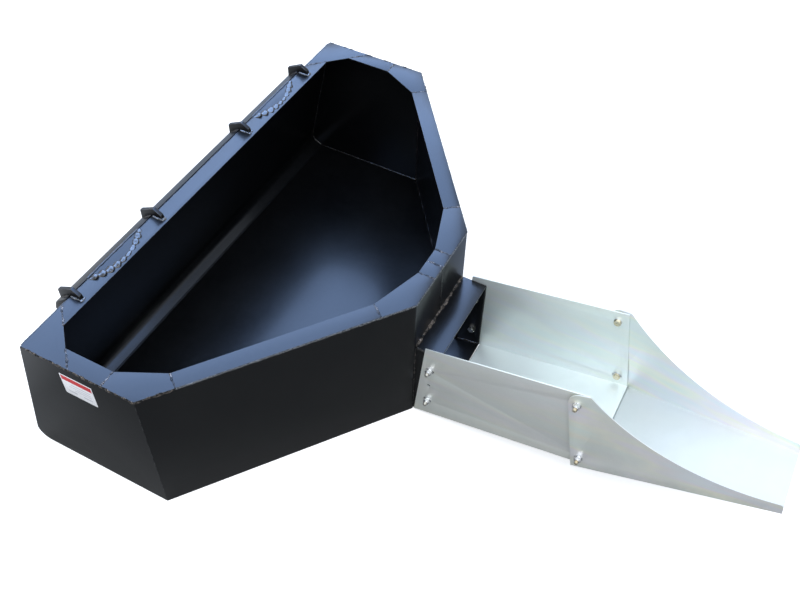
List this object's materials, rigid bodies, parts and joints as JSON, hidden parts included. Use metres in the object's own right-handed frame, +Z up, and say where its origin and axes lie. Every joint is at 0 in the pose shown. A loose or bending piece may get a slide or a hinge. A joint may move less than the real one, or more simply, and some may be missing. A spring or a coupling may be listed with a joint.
{
  "type": "concrete placement bucket",
  "caption": "Low V-plan welded hopper for a skid-steer loader, with a rim flange, quick-attach back, front spout, tilting U chute and a tapered chute extension.",
  "frame": {"origin": "on the ground, under the middle of the whole assembly's bounding box", "axes": "+Z up, -Y out along the chute, +Y towards the loader; the hopper is symmetric about X = 0"},
  "size_m": [1.5244, 2.0267, 0.518],
  "materials": {
    "black_paint": "satin gloss black paint over welded steel",
    "zinc_sheet": "clear zinc plating with faint iridescence",
    "bright_zinc_fastener": "bright zinc",
    "yellow_zinc_bolt": "yellow zinc",
    "label_vinyl": "glossy printed vinyl"
  },
  "bodies": {
    "bucket": {"back_sheet": "black_paint", "end_plate_left": "black_paint", "end_plate_right": "black_paint", "floor_plate": "black_paint", "ledge_gusset_inner_left": "black_paint", "ledge_gusset_inner_right": "black_paint", "ledge_gusset_outer_left": "black_paint", "ledge_gusset_outer_right": "black_paint", "mount_ear_inner_left": "black_paint", "mount_ear_inner_right": "black_paint", "mount_ear_outer_left": "black_paint", "mount_ear_outer_right": "black_paint", "mount_ledge": "black_paint", "mount_lip": "black_paint", "mount_lip_end_left": "black_paint", "mount_lip_end_right": "black_paint", "mount_tab_left": "black_paint", "mount_tab_right": "black_paint", "rim_back_strip": "black_paint", "rim_diagonal_strip_left": "black_paint", "rim_diagonal_strip_right": "black_paint", "rim_end_strip_left": "black_paint", "rim_end_strip_right": "black_paint", "rim_front_corner_left": "black_paint", "rim_front_corner_right": "black_paint", "rim_front_strip_left": "black_paint", "rim_front_strip_right": "black_paint", "rim_rear_corner_left": "black_paint", "rim_rear_corner_right": "black_paint", "rim_side_corner_left": "black_paint", "rim_side_corner_right": "black_paint", "safety_label": "label_vinyl", "side_sheet_left": "black_paint", "side_sheet_right": "black_paint", "spout_bolts": "yellow_zinc_bolt", "spout_floor": "black_paint", "spout_nuts": "bright_zinc_fastener", "spout_side_left": "black_paint", "spout_side_right": "black_paint", "spout_top": "black_paint", "spout_washers": "bright_zinc_fastener"},
    "chute": {"chute": "zinc_sheet"},
    "extension": {"chute_extension": "zinc_sheet", "extension_bolts": "yellow_zinc_bolt", "extension_washers": "bright_zinc_fastener", "extension_nuts": "bright_zinc_fastener"}
  },
  "joints": [
    {"name": "chute_tilt", "type": "hinge", "parent": "bucket", "child": "chute", "pos_m": [0, -0.01, 0.154], "axis": [-1, 0, 0], "range_deg": [0, 6]},
    {"name": "extension_tilt", "type": "hinge", "parent": "chute", "child": "extension", "pos_m": [0, -0.4387, 0.3671], "axis": [-1, 0, 0], "range_deg": [-2, 2]}
  ]
}
